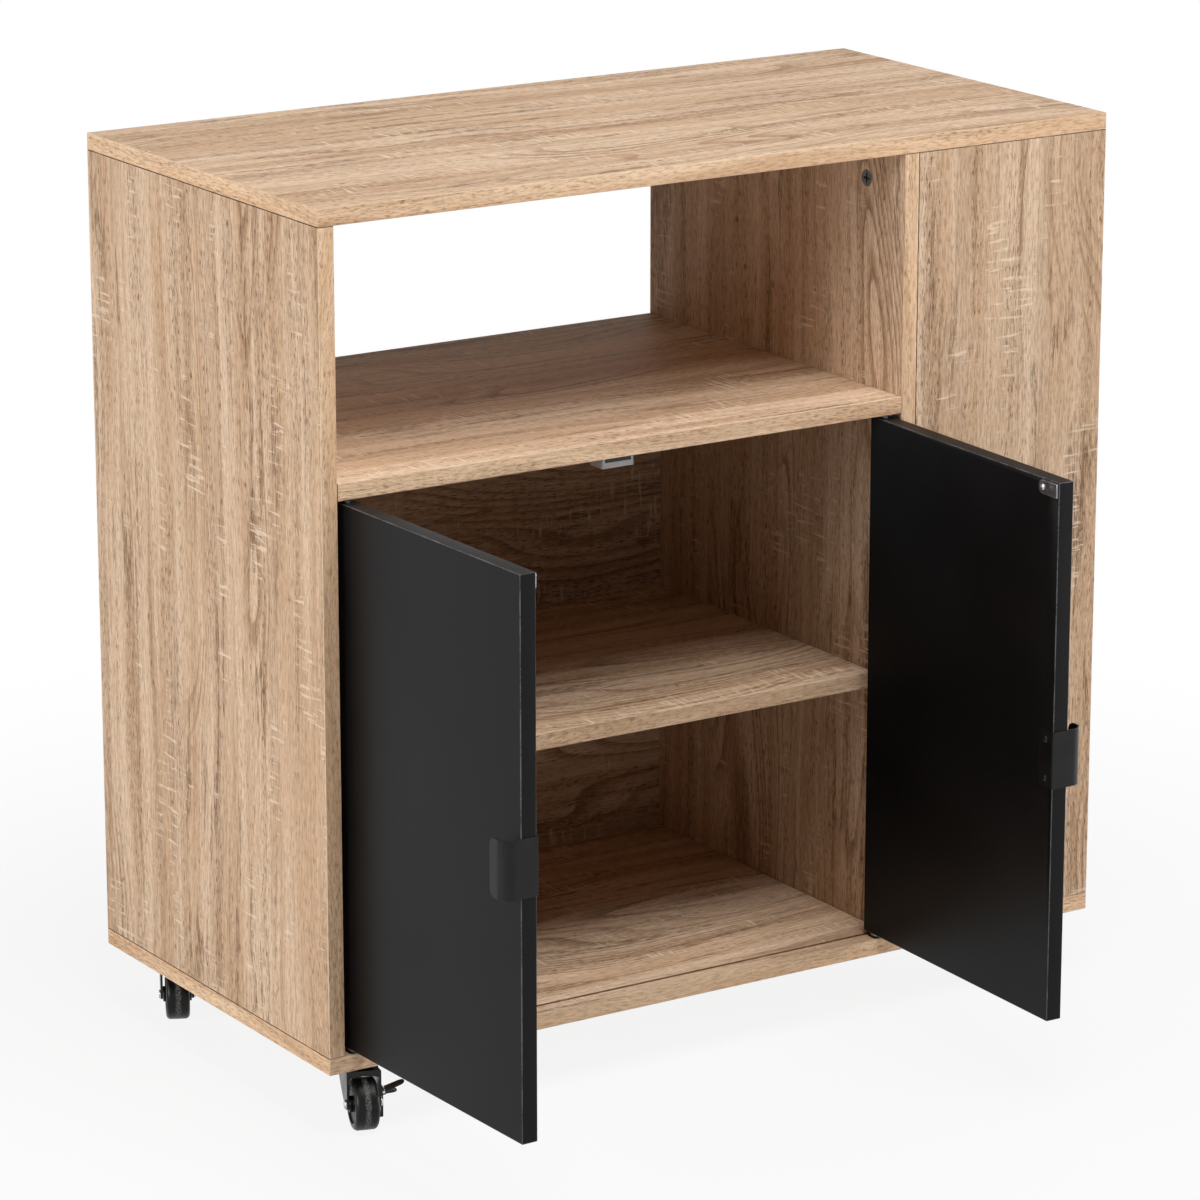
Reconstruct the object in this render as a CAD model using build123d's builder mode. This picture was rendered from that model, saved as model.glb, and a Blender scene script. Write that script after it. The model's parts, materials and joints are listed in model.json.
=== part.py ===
"""Rolling kitchen cart with two inset doors, an open niche, an end bay and four casters.

Millimetres. The floor is z = 0, the front faces -Y, and the carcass is centred on x = 0 and y = 0.
"""

import os
from math import atan2, cos, degrees, hypot, radians, sin, sqrt

from build123d import *

os.makedirs("parts", exist_ok=True)

# Carcass sizes
cart_width = 800.0
cart_depth = 400.0
cart_height = 800.0
board = 15.0
board_edge = 0.5
end_bay_width = 203.0
niche_height = 214.0

# Shelves and thin back
cabinet_shelf_clear = 223.0
cabinet_shelf_setback = 36.0
end_shelf_setback = 3.0
shelf_gap = 0.5
back_thickness = 3.2
groove_gap = 0.2
groove_depth = 5.0
groove_end_gap = 0.5
groove_setback = 15.0

# Joints between boards
dowel_radius = 4.0
dowel_in_face = 10.5
dowel_in_edge = 19.5
dowel_end_gap = 0.5
dowel_from_edge = 121.0
end_joint_offset = 50.0
end_dowel_offset = 180.0
cam_radius = 7.5
cam_depth = 12.0
cam_setback = 30.0
cam_from_edge = 57.0
cam_slot_width = 1.8
cam_slot_depth = 2.2
bolt_radius = 2.5
bolt_head_radius = 3.4
bolt_head_height = 4.0
bolt_bore_gap = 1.5
bolt_in_face = 11.0
part_fit = 0.05
loose_fit = 0.3
base_screw_shank = 3.5
base_screw_head = 5.0
base_screw_thread = 2.5
base_screw_grip = 35.0
pin_radius = 2.5
pin_in_board = 8.0
pin_tab_length = 8.0
pin_tab_width = 7.0
pin_from_edge = 45.0

# Doors on pivots
door_angle = 88.5
door_thickness = 15.0
door_round = 1.0
door_gap_bottom = 4.0
door_gap_top = 3.0
door_gap_side = 3.0
door_gap_middle = 4.0
pivot_setback = 10.0
pivot_radius = 3.0
pivot_in_door = 14.0
pivot_in_bush = 7.0
bush_wall = 2.0
bush_length = 9.0
bush_flange = 1.0
bush_flange_rim = 2.0
collar_rim = 2.5
collar_gap = 0.2

# Door pulls
handle_sheet = 1.2
handle_height = 50.0
handle_drop = 4.0
handle_flange = 18.0
handle_flange_corner = 3.0
handle_stand = 5.0
handle_bend = 10.3
handle_lip = 10.0
handle_lip_corner = 7.0
handle_screw_pitch = 34.0
handle_screw_inset = 9.6

# Catch and strike plates
strike_length = 26.0
strike_height = 12.0
strike_thickness = 1.5
strike_inset = 1.5
catch_width = 32.0
catch_depth = 20.0
catch_height = 13.0
catch_round = 1.5
catch_gap = 0.3
magnet_width = 26.0
magnet_depth = 11.0
magnet_height = 3.0
magnet_fit = 0.15
catch_screw_pitch = 18.0

# Small screws
small_shank = 1.5
small_head_radius = 2.9
small_head_height = 1.6
small_grip = 9.0

# Casters
wheel_radius = 23.0
wheel_half = 10.5
wheel_shoulder = 4.0
wheel_rim = 6.0
wheel_recess = 1.5
wheel_hub_radius = 7.0
wheel_side_gap = 0.3
wheel_clearance = 5.4
fork_sheet = 2.0
fork_half = 15.0
fork_bend = 1.6
fork_lip = 4.8
fork_arch = 40.0
fork_trail = 24.0
leg_end_radius = 4.8
leg_waist_back = 20.0
leg_waist_rise = 10.0
leg_top_back = 35.0
race_radius = 16.0
race_wall = 4.5
race_height = 4.3
swivel_gap = 0.3
plate_size = 42.0
plate_thickness = 2.0
plate_corner = 5.0
plate_hole_pitch = 30.0
caster_screw_shank = 2.0
caster_screw_head = 3.6
caster_screw_head_height = 2.0
caster_screw_grip = 11.0
kingpin_radius = 4.0
kingpin_head_radius = 6.5
kingpin_head_height = 2.4
axle_radius = 3.0
axle_head_radius = 4.0
axle_head_height = 1.5
caster_inset_x = 48.0
caster_inset_y = 38.0
caster_turns = {"front_left": -18.0, "front_right": -5.0, "back_left": -26.0, "back_right": -20.0}

# Brake levers
brake_width = 9.0
brake_side_gap = 0.3
brake_ear = 1.5
brake_offset = 9.5
brake_hub_radius = 2.4
brake_hub_gap = 1.5
brake_rise = 6.5
brake_pin_radius = 1.25
brake_clearance = 3.0
brake_bar = 2.0
brake_tip = 1.2
brake_upper_reach = 19.0
brake_upper_rise = 6.5
brake_lower_reach = 12.5
brake_lower_drop = 0.8

# Heights and faces worked out from the sizes above
caster_height = (
    2 * wheel_radius + wheel_clearance + fork_sheet + swivel_gap + race_height + plate_thickness
)
left = -cart_width / 2
right = cart_width / 2
front = -cart_depth / 2
back = cart_depth / 2
base_bottom = caster_height
base_top = base_bottom + board
top_bottom = cart_height - board
opening_left = left + board
divider_right = right - end_bay_width
opening_right = divider_right - board
opening_mid = (opening_left + opening_right) / 2
left_mid = left + board / 2
divider_mid = divider_right - board / 2
end_mid = (divider_right + right) / 2
end_front_mid = front + board / 2
end_back_mid = back - board / 2
niche_shelf_top = top_bottom - niche_height
niche_shelf_bottom = niche_shelf_top - board
niche_shelf_mid = niche_shelf_top - board / 2
groove_width = back_thickness + 2 * groove_gap
back_groove_mid = back - groove_setback - groove_width / 2
front_groove_mid = front + groove_setback + groove_width / 2
cabinet_shelf_bottom = base_top + cabinet_shelf_clear
cabinet_shelf_front = front + cabinet_shelf_setback
cabinet_shelf_back = back_groove_mid - back_thickness / 2 - shelf_gap
end_space = (top_bottom - base_top - 2 * board) / 3
end_lower_bottom = base_top + end_space
end_upper_bottom = end_lower_bottom + board + end_space

# Door placing, with the left door drawn open and the right one its mirror image
door_width = (opening_right - opening_left - 2 * door_gap_side - door_gap_middle) / 2
door_bottom = base_top + door_gap_bottom
door_top = niche_shelf_bottom - door_gap_top
door_height = door_top - door_bottom
door_face = door_thickness / 2
free_edge = door_width - pivot_setback
pivot_x = opening_left + door_gap_side + pivot_setback
pivot_y = front + door_face
swing = radians(door_angle)
door_plane = Plane((pivot_x, pivot_y, 0), x_dir=(cos(swing), -sin(swing), 0), z_dir=(0, 0, 1))
inner_face = Plane(
    door_plane.from_local_coords((0, door_face, 0)), x_dir=(0, 0, 1), z_dir=door_plane.y_dir
)
mirror_plane = Plane.YZ.offset(opening_mid)
handle_mid = (door_bottom + door_top) / 2 - handle_drop
handle_screw_spots = [
    (handle_mid - handle_screw_pitch / 2, free_edge - handle_screw_inset),
    (handle_mid + handle_screw_pitch / 2, free_edge - handle_screw_inset),
]
strike_mid_height = door_top - strike_inset - strike_height / 2
strike_free_end = free_edge - strike_inset
strike_round_mid = strike_free_end - strike_length + strike_height / 2
strike_screw_spots = [(strike_mid_height, strike_round_mid)]
bush_radius = pivot_radius + bush_wall
bush_flange_radius = bush_radius + bush_flange_rim

# Catch placing
catch_front = front + door_thickness + strike_thickness + catch_gap
catch_bottom = niche_shelf_bottom - catch_height
catch_screw_y = catch_front + (magnet_depth + catch_depth) / 2
catch_screw_spots = [
    (opening_mid - catch_screw_pitch / 2, catch_screw_y),
    (opening_mid + catch_screw_pitch / 2, catch_screw_y),
]

# Caster heights, measured about one swivel axis
axle_z = wheel_radius
axle_y = -fork_trail
crown_top = caster_height - plate_thickness - race_height - swivel_gap
crown_bottom = crown_top - fork_sheet
plate_bottom = caster_height - plate_thickness
web_half = wheel_half - wheel_recess
rim_inner = wheel_radius - wheel_rim
brake_x = fork_half + brake_hub_gap + brake_hub_radius
brake_y = axle_y + brake_offset
brake_z = axle_z + brake_rise
rim_middle = (rim_inner + wheel_radius - wheel_shoulder) / 2
nose_drop = sqrt(rim_middle**2 - brake_offset**2)
caster_spots = {
    "front_left": (left + caster_inset_x, front + caster_inset_y, 0),
    "front_right": (right - caster_inset_x, front + caster_inset_y, 0),
    "back_left": (left + caster_inset_x, back - caster_inset_y, 0),
    "back_right": (right - caster_inset_x, back - caster_inset_y, 0),
}

# Joint lines: every plane points from the face of one board into the edge of the next
up = (0, 0, 1)
down = (0, 0, -1)
cam_rows = (front + cam_from_edge, back - cam_from_edge)
dowel_rows = (front + dowel_from_edge, back - dowel_from_edge)
end_dowel_levels = (base_top + end_dowel_offset, top_bottom - end_dowel_offset)
left_cams = [Plane((left_mid, y, top_bottom), x_dir=(1, 0, 0), z_dir=down) for y in cam_rows]
divider_cams = [Plane((divider_mid, y, top_bottom), x_dir=(-1, 0, 0), z_dir=down) for y in cam_rows]
end_cam_x = end_mid + end_joint_offset
end_front_cams = [Plane((end_cam_x, end_front_mid, top_bottom), x_dir=(0, 1, 0), z_dir=down)]
end_back_cams = [Plane((end_cam_x, end_back_mid, top_bottom), x_dir=(0, -1, 0), z_dir=down)]
shelf_left_cams = [
    Plane((opening_left, y, niche_shelf_mid), x_dir=down, z_dir=(1, 0, 0)) for y in cam_rows
]
shelf_right_cams = [
    Plane((opening_right, y, niche_shelf_mid), x_dir=down, z_dir=(-1, 0, 0)) for y in cam_rows
]
top_cams = left_cams + divider_cams + end_front_cams + end_back_cams
shelf_cams = shelf_left_cams + shelf_right_cams

left_dowel_spots = [(left_mid, y) for y in dowel_rows]
divider_dowel_spots = [(divider_mid, y) for y in dowel_rows]
end_front_dowel_spots = [(end_mid - end_joint_offset, end_front_mid)]
end_back_dowel_spots = [(end_mid - end_joint_offset, end_back_mid)]
upright_dowel_spots = (
    left_dowel_spots + divider_dowel_spots + end_front_dowel_spots + end_back_dowel_spots
)
shelf_left_dowels = [Plane((opening_left, y, niche_shelf_mid), z_dir=(1, 0, 0)) for y in dowel_rows]
shelf_right_dowels = [
    Plane((opening_right, y, niche_shelf_mid), z_dir=(-1, 0, 0)) for y in dowel_rows
]
end_front_edge_dowels = [
    Plane((divider_right, end_front_mid, z), z_dir=(1, 0, 0)) for z in end_dowel_levels
]
end_back_edge_dowels = [
    Plane((divider_right, end_back_mid, z), z_dir=(1, 0, 0)) for z in end_dowel_levels
]

left_screw_spots = [(left_mid, y) for y in cam_rows]
divider_screw_spots = [(divider_mid, y) for y in cam_rows]
end_front_screw_spots = [(end_cam_x, end_front_mid)]
end_back_screw_spots = [(end_cam_x, end_back_mid)]
base_screw_spots = (
    left_screw_spots + divider_screw_spots + end_front_screw_spots + end_back_screw_spots
)

cabinet_pin_rows = (cabinet_shelf_front + pin_from_edge, cabinet_shelf_back - pin_from_edge)
left_pins = [
    Plane((opening_left, y, cabinet_shelf_bottom), x_dir=up, z_dir=(1, 0, 0))
    for y in cabinet_pin_rows
]
divider_pins = [
    Plane((opening_right, y, cabinet_shelf_bottom), x_dir=up, z_dir=(-1, 0, 0))
    for y in cabinet_pin_rows
]
end_pin_columns = (divider_right + pin_from_edge, right - end_shelf_setback - pin_from_edge)
end_pin_spots = [(x, z) for x in end_pin_columns for z in (end_lower_bottom, end_upper_bottom)]
end_front_pins = [
    Plane((x, front + board, z), x_dir=up, z_dir=(0, 1, 0)) for x, z in end_pin_spots
]
end_back_pins = [
    Plane((x, back - board, z), x_dir=up, z_dir=(0, -1, 0)) for x, z in end_pin_spots
]
grow = (Align.CENTER, Align.CENTER, Align.MIN)


def upright_tops(spots):
    """Planes at the top joints, pointing down into the uprights."""
    return [Plane((x, y, top_bottom), z_dir=down) for x, y in spots]


def upright_feet(spots):
    """Planes at the base joints, pointing up into the uprights."""
    return [Plane((x, y, base_top), z_dir=up) for x, y in spots]


def add_board(low, high):
    """One square-cut board between two corners."""
    with Locations(tuple((a + b) / 2 for a, b in zip(low, high))):
        Box(*(b - a for a, b in zip(low, high)))


def cut_block(low, high):
    """Take a square block out between two corners."""
    with Locations(tuple((a + b) / 2 for a, b in zip(low, high))):
        Box(*(b - a for a, b in zip(low, high)), mode=Mode.SUBTRACT)


def drill_face(planes, radius, depth):
    """Holes in the face that carries the joint."""
    with Locations(*planes):
        Hole(radius, depth)


def drill_edge(planes, radius, depth):
    """Holes in the edge that meets the joint."""
    with Locations(*planes):
        Cylinder(radius, depth, align=grow, mode=Mode.SUBTRACT)


def bore_dowel_faces(planes):
    """Dowel holes in a face."""
    drill_face(planes, dowel_radius + part_fit, dowel_in_face + dowel_end_gap)


def bore_dowel_edges(planes):
    """Dowel holes in an edge."""
    drill_edge(planes, dowel_radius + part_fit, dowel_in_edge + dowel_end_gap)


def bore_cams(planes):
    """Cam pockets with the bolt bores that lead to them."""
    drill_edge(planes, bolt_radius + bolt_bore_gap, cam_setback)
    with Locations(*planes):
        with Locations(Location((board / 2, 0, cam_setback), (0, 90, 0))):
            Hole(cam_radius, cam_depth)


def bore_pins(planes):
    """Shelf pin holes."""
    with Locations(*planes):
        with Locations((-pin_radius, 0, 0)):
            Hole(pin_radius + part_fit, pin_in_board + dowel_end_gap)


def bar(start, end, width):
    """A round-ended bar between two points of a sketch."""
    run = end[0] - start[0]
    rise = end[1] - start[1]
    with Locations(((start[0] + end[0]) / 2, (start[1] + end[1]) / 2)):
        SlotCenterToCenter(hypot(run, rise), width, rotation=degrees(atan2(rise, run)))


def keep(piece, node):
    """Name a finished piece and write it."""
    piece.part.label = node
    export_step(piece.part, f"parts/{node}.step")


def keep_at(piece, node, spot):
    """Place a copy of a finished piece, name it and write it."""
    with BuildPart() as placed:
        with Locations(spot):
            add(piece.part)
    keep(placed, node)


def keep_mirrored(piece, node):
    """Write the right-hand twin of a left-hand piece."""
    with BuildPart() as twin:
        mirror(piece.part, about=mirror_plane)
    keep(twin, node)


# Top board
with BuildPart() as top_panel:
    add_board((left, front, top_bottom), (right, back, cart_height))
    chamfer(top_panel.edges(), board_edge)
    bore_dowel_faces(upright_tops(upright_dowel_spots))
    drill_face(top_cams, bolt_radius + part_fit, bolt_in_face + dowel_end_gap)
keep(top_panel, "top_panel")

# Base board, grooved alike near its front and back edges
with BuildPart() as base_panel:
    add_board((left, front, base_bottom), (right, back, base_top))
    chamfer(base_panel.edges(), board_edge)
    for groove_mid, run_on in ((front_groove_mid, 0), (back_groove_mid, groove_depth)):
        cut_block(
            (opening_left - run_on, groove_mid - groove_width / 2, base_top - groove_depth),
            (opening_right + run_on, groove_mid + groove_width / 2, base_top),
        )
    bore_dowel_faces(upright_feet(upright_dowel_spots))
    with Locations(*[Plane((x, y, base_bottom), z_dir=down) for x, y in base_screw_spots]):
        CounterSinkHole(
            base_screw_shank + part_fit, base_screw_head + part_fit, counter_sink_angle=90
        )
    with Locations((pivot_x, pivot_y, base_top), (2 * opening_mid - pivot_x, pivot_y, base_top)):
        Hole(bush_radius + part_fit, bush_length)
    with Locations(*[Plane((x, y, base_bottom), z_dir=down) for x, y, z in caster_spots.values()]):
        with GridLocations(plate_hole_pitch, plate_hole_pitch, 2, 2):
            Hole(caster_screw_shank + part_fit, caster_screw_grip + dowel_end_gap)
keep(base_panel, "base_panel")

# Left end board
with BuildPart() as left_side_panel:
    add_board((left, front, base_top), (opening_left, back, top_bottom))
    chamfer(left_side_panel.edges(), board_edge)
    cut_block(
        (opening_left - groove_depth, back_groove_mid - groove_width / 2, base_top),
        (opening_left, back_groove_mid + groove_width / 2, niche_shelf_bottom + groove_depth),
    )
    bore_cams(left_cams)
    bore_dowel_edges(upright_tops(left_dowel_spots) + upright_feet(left_dowel_spots))
    drill_edge(upright_feet(left_screw_spots), base_screw_thread + part_fit, base_screw_grip)
    bore_dowel_faces(shelf_left_dowels)
    drill_face(shelf_left_cams, bolt_radius + part_fit, bolt_in_face + dowel_end_gap)
    bore_pins(left_pins)
keep(left_side_panel, "left_side_panel")

# Divider between the cabinet and the end bay
with BuildPart() as divider_panel:
    add_board((opening_right, front, base_top), (divider_right, back, top_bottom))
    chamfer(divider_panel.edges(), board_edge)
    cut_block(
        (opening_right, back_groove_mid - groove_width / 2, base_top),
        (
            opening_right + groove_depth,
            back_groove_mid + groove_width / 2,
            niche_shelf_bottom + groove_depth,
        ),
    )
    bore_cams(divider_cams)
    bore_dowel_edges(upright_tops(divider_dowel_spots) + upright_feet(divider_dowel_spots))
    drill_edge(upright_feet(divider_screw_spots), base_screw_thread + part_fit, base_screw_grip)
    bore_dowel_faces(shelf_right_dowels)
    drill_face(shelf_right_cams, bolt_radius + part_fit, bolt_in_face + dowel_end_gap)
    bore_dowel_faces(end_front_edge_dowels + end_back_edge_dowels)
    bore_pins(divider_pins)
keep(divider_panel, "divider_panel")

# Front board of the end bay
with BuildPart() as end_front_panel:
    add_board((divider_right, front, base_top), (right, front + board, top_bottom))
    chamfer(end_front_panel.edges(), board_edge)
    bore_cams(end_front_cams)
    bore_dowel_edges(upright_tops(end_front_dowel_spots) + upright_feet(end_front_dowel_spots))
    drill_edge(upright_feet(end_front_screw_spots), base_screw_thread + part_fit, base_screw_grip)
    bore_dowel_edges(end_front_edge_dowels)
    bore_pins(end_front_pins)
keep(end_front_panel, "end_front_panel")

# Back board of the end bay
with BuildPart() as end_back_panel:
    add_board((divider_right, back - board, base_top), (right, back, top_bottom))
    chamfer(end_back_panel.edges(), board_edge)
    bore_cams(end_back_cams)
    bore_dowel_edges(upright_tops(end_back_dowel_spots) + upright_feet(end_back_dowel_spots))
    drill_edge(upright_feet(end_back_screw_spots), base_screw_thread + part_fit, base_screw_grip)
    bore_dowel_edges(end_back_edge_dowels)
    bore_pins(end_back_pins)
keep(end_back_panel, "end_back_panel")

# Fixed shelf under the niche
with BuildPart() as niche_shelf:
    add_board((opening_left, front, niche_shelf_bottom), (opening_right, back, niche_shelf_top))
    chamfer(niche_shelf.edges(), board_edge)
    cut_block(
        (opening_left, back_groove_mid - groove_width / 2, niche_shelf_bottom),
        (opening_right, back_groove_mid + groove_width / 2, niche_shelf_bottom + groove_depth),
    )
    bore_cams(shelf_cams)
    bore_dowel_edges(shelf_left_dowels + shelf_right_dowels)
    for x in (pivot_x, 2 * opening_mid - pivot_x):
        with Locations(Plane((x, pivot_y, niche_shelf_bottom), z_dir=down)):
            Hole(bush_radius + part_fit, bush_length)
    with Locations(*[Plane((x, y, niche_shelf_bottom), z_dir=down) for x, y in catch_screw_spots]):
        Hole(small_shank + part_fit, small_grip + dowel_end_gap)
keep(niche_shelf, "niche_shelf")

# Loose shelf inside the cabinet
with BuildPart() as cabinet_shelf:
    add_board(
        (opening_left + shelf_gap, cabinet_shelf_front, cabinet_shelf_bottom),
        (opening_right - shelf_gap, cabinet_shelf_back, cabinet_shelf_bottom + board),
    )
    chamfer(cabinet_shelf.edges(), board_edge)
keep(cabinet_shelf, "cabinet_shelf")

# Thin back of the cabinet, held in the grooves
with BuildPart() as cabinet_back_panel:
    reach = groove_depth - groove_end_gap
    add_board(
        (opening_left - reach, back_groove_mid - back_thickness / 2, base_top - reach),
        (opening_right + reach, back_groove_mid + back_thickness / 2, niche_shelf_bottom + reach),
    )
keep(cabinet_back_panel, "cabinet_back_panel")

# Loose shelves of the end bay
for node, bottom in (("end_shelf_lower", end_lower_bottom), ("end_shelf_upper", end_upper_bottom)):
    with BuildPart() as end_shelf:
        add_board(
            (divider_right + shelf_gap, front + board + shelf_gap, bottom),
            (right - end_shelf_setback, back - board - shelf_gap, bottom + board),
        )
        chamfer(end_shelf.edges(), board_edge)
    keep(end_shelf, node)

# Cam locks with a pocket for the bolt head and a cross slot
with BuildPart() as cam_locks:
    pocket = bolt_head_radius + loose_fit
    with Locations(*(top_cams + shelf_cams)):
        with Locations(Location((board / 2 - cam_depth, 0, cam_setback), (0, 90, 0))):
            Cylinder(cam_radius - part_fit, cam_depth, align=grow)
        with Locations((pocket - board, 0, cam_setback - cam_radius)):
            Box(
                board,
                2 * pocket,
                cam_radius + pocket,
                align=(Align.MIN, Align.CENTER, Align.MIN),
                mode=Mode.SUBTRACT,
            )
        with Locations((board / 2, 0, cam_setback)):
            Box(2 * cam_slot_depth, 1.2 * cam_radius, cam_slot_width, mode=Mode.SUBTRACT)
            Box(2 * cam_slot_depth, cam_slot_width, 1.2 * cam_radius, mode=Mode.SUBTRACT)
keep(cam_locks, "cam_locks")

# Bolts drawn in by the cams
with BuildPart() as cam_bolts:
    with Locations(*(top_cams + shelf_cams)):
        with Locations((0, 0, -bolt_in_face)):
            Cylinder(bolt_radius, bolt_in_face + cam_setback, align=grow)
        with Locations((0, 0, cam_setback)):
            Cylinder(bolt_head_radius, bolt_head_height)
keep(cam_bolts, "cam_bolts")

# Wooden dowels
with BuildPart() as dowels:
    dowel_planes = (
        upright_tops(upright_dowel_spots)
        + upright_feet(upright_dowel_spots)
        + shelf_left_dowels
        + shelf_right_dowels
        + end_front_edge_dowels
        + end_back_edge_dowels
    )
    with Locations(*dowel_planes):
        with Locations((0, 0, -dowel_in_face)):
            Cylinder(dowel_radius, dowel_in_face + dowel_in_edge, align=grow)
keep(dowels, "dowels")

# Screws through the base into the uprights
with BuildPart() as base_screws:
    with Locations(*[(x, y, base_bottom) for x, y in base_screw_spots]):
        Cone(base_screw_head, base_screw_shank, base_screw_head - base_screw_shank, align=grow)
        Cylinder(base_screw_shank, board, align=grow)
        Cylinder(base_screw_thread, board + base_screw_grip - dowel_end_gap, align=grow)
        Box(base_screw_shank, base_screw_shank, base_screw_shank, mode=Mode.SUBTRACT)
keep(base_screws, "base_screws")

# Pins under the loose shelves
with BuildPart() as shelf_pins:
    with Locations(*(left_pins + divider_pins + end_front_pins + end_back_pins)):
        with Locations((-pin_radius, 0, -pin_in_board)):
            Cylinder(pin_radius, pin_in_board, align=grow)
        with Locations((-pin_radius, 0, 0)):
            Box(2 * pin_radius, pin_tab_width, pin_tab_length, align=grow)
keep(shelf_pins, "shelf_pins")

# Door panels
with BuildPart() as left_door:
    with Locations(door_plane):
        with Locations((door_width / 2 - pivot_setback, 0, (door_bottom + door_top) / 2)):
            Box(door_width, door_thickness, door_height)
    fillet(left_door.edges(), door_round)
    with Locations((pivot_x, pivot_y, door_top)):
        Hole(pivot_radius + part_fit, pivot_in_door)
    with Locations(Plane((pivot_x, pivot_y, door_bottom), z_dir=down)):
        Hole(pivot_radius + part_fit, pivot_in_door)
    with Locations(inner_face):
        with Locations(*[(z, x, 0) for z, x in handle_screw_spots + strike_screw_spots]):
            Hole(small_shank + part_fit, small_grip + dowel_end_gap)
keep(left_door, "left_door")
keep_mirrored(left_door, "right_door")

# Pivot pins, the lower one with a collar that carries the door
with BuildPart() as left_pivot_pins:
    with Locations((pivot_x, pivot_y, door_top - pivot_in_door)):
        Cylinder(pivot_radius, pivot_in_door + door_gap_top + pivot_in_bush, align=grow)
    with Locations((pivot_x, pivot_y, base_top - pivot_in_bush)):
        Cylinder(pivot_radius, pivot_in_bush + door_gap_bottom + pivot_in_door, align=grow)
    with Locations((pivot_x, pivot_y, base_top + bush_flange + collar_gap)):
        collar_height = door_gap_bottom - bush_flange - collar_gap
        Cylinder(pivot_radius + collar_rim, collar_height, align=grow)
keep(left_pivot_pins, "left_pivot_pins")
keep_mirrored(left_pivot_pins, "right_pivot_pins")

# Flanged bushes for the pivots
with BuildPart() as pivot_bushes:
    for x in (pivot_x, 2 * opening_mid - pivot_x):
        for z, outward in ((base_top, up), (niche_shelf_bottom, down)):
            with Locations(Plane((x, pivot_y, z), z_dir=outward)):
                Cylinder(bush_flange_radius, bush_flange, align=grow)
                with Locations((0, 0, -bush_length)):
                    Cylinder(bush_radius, bush_length, align=grow)
                with Locations((0, 0, bush_flange)):
                    Hole(pivot_radius + part_fit, bush_flange + bush_length)
keep(pivot_bushes, "pivot_bushes")

# Pulls folded over the free edges of the doors
with BuildPart() as left_handle:
    stand_end = -door_face - handle_stand
    bend_mid = (free_edge - handle_bend, stand_end)
    lip_end = free_edge - handle_bend - handle_lip
    lip_inner = stand_end - handle_bend
    flange_end = free_edge - handle_flange
    with BuildSketch(door_plane.offset(handle_mid - handle_height / 2)):
        with BuildLine():
            Polyline((free_edge, stand_end), (free_edge, door_face), (flange_end, door_face))
            Line((flange_end, door_face), (flange_end, door_face + handle_sheet))
            Line((flange_end, door_face + handle_sheet), (free_edge, door_face + handle_sheet))
            CenterArc((free_edge, door_face), handle_sheet, 0, 90)
            Line((free_edge + handle_sheet, door_face), (free_edge + handle_sheet, stand_end))
            CenterArc(bend_mid, handle_bend + handle_sheet, 0, -90)
            Line((bend_mid[0], lip_inner - handle_sheet), (lip_end, lip_inner - handle_sheet))
            Line((lip_end, lip_inner - handle_sheet), (lip_end, lip_inner))
            Line((lip_end, lip_inner), (bend_mid[0], lip_inner))
            CenterArc(bend_mid, handle_bend, 0, -90)
        make_face()
    extrude(amount=handle_height)
    across = Axis(door_plane.origin, door_plane.y_dir)
    corners = left_handle.edges().filter_by(lambda edge: abs(edge.length - handle_sheet) < 0.01)
    corners = corners.sort_by(across)
    lip_corners = corners[:2]
    flange_corners = corners[-2:]
    fillet(lip_corners, handle_lip_corner)
    fillet(flange_corners, handle_flange_corner)
    with Locations(inner_face.offset(handle_sheet)):
        with Locations(*[(z, x, 0) for z, x in handle_screw_spots]):
            Hole(small_shank + part_fit, 2 * handle_sheet)
keep(left_handle, "left_handle")
keep_mirrored(left_handle, "right_handle")

# Strike plates for the catch
with BuildPart() as left_strike_plate:
    with BuildSketch(inner_face):
        with Locations((strike_mid_height, (strike_free_end + strike_round_mid) / 2)):
            Rectangle(strike_height, strike_free_end - strike_round_mid)
        with Locations((strike_mid_height, strike_round_mid)):
            Circle(strike_height / 2)
            Circle(small_shank + part_fit, mode=Mode.SUBTRACT)
    extrude(amount=strike_thickness)
keep(left_strike_plate, "left_strike_plate")
keep_mirrored(left_strike_plate, "right_strike_plate")


def add_small_screws(plane, spots, plate):
    """Round-headed screws that hold a plate of the given thickness."""
    with Locations(plane.offset(plate)):
        with Locations(*[(a, b, 0) for a, b in spots]):
            Cylinder(small_head_radius, small_head_height, align=grow)
            with Locations((0, 0, -plate - small_grip)):
                Cylinder(small_shank, plate + small_grip, align=grow)


# Door hardware screws
with BuildPart() as left_handle_screws:
    add_small_screws(inner_face, handle_screw_spots, handle_sheet)
keep(left_handle_screws, "left_handle_screws")
keep_mirrored(left_handle_screws, "right_handle_screws")

with BuildPart() as left_strike_screw:
    add_small_screws(inner_face, strike_screw_spots, strike_thickness)
keep(left_strike_screw, "left_strike_screw")
keep_mirrored(left_strike_screw, "right_strike_screw")

# Magnetic catch under the niche shelf
with BuildPart() as catch_housing:
    with BuildSketch(Plane.XY.offset(catch_bottom)):
        with Locations((opening_mid, catch_front + catch_depth / 2)):
            RectangleRounded(catch_width, catch_depth, catch_round)
    extrude(amount=catch_height)
    magnet_mid = catch_bottom + catch_height / 2
    with Locations((opening_mid, catch_front, magnet_mid)):
        Box(
            magnet_width + 2 * magnet_fit,
            2 * (magnet_depth + magnet_fit),
            magnet_height + 2 * magnet_fit,
            mode=Mode.SUBTRACT,
        )
    with Locations(*[Plane((x, y, catch_bottom), z_dir=down) for x, y in catch_screw_spots]):
        CounterBoreHole(
            small_shank + part_fit, small_head_radius + loose_fit, small_head_height + loose_fit
        )
keep(catch_housing, "catch_housing")

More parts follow.
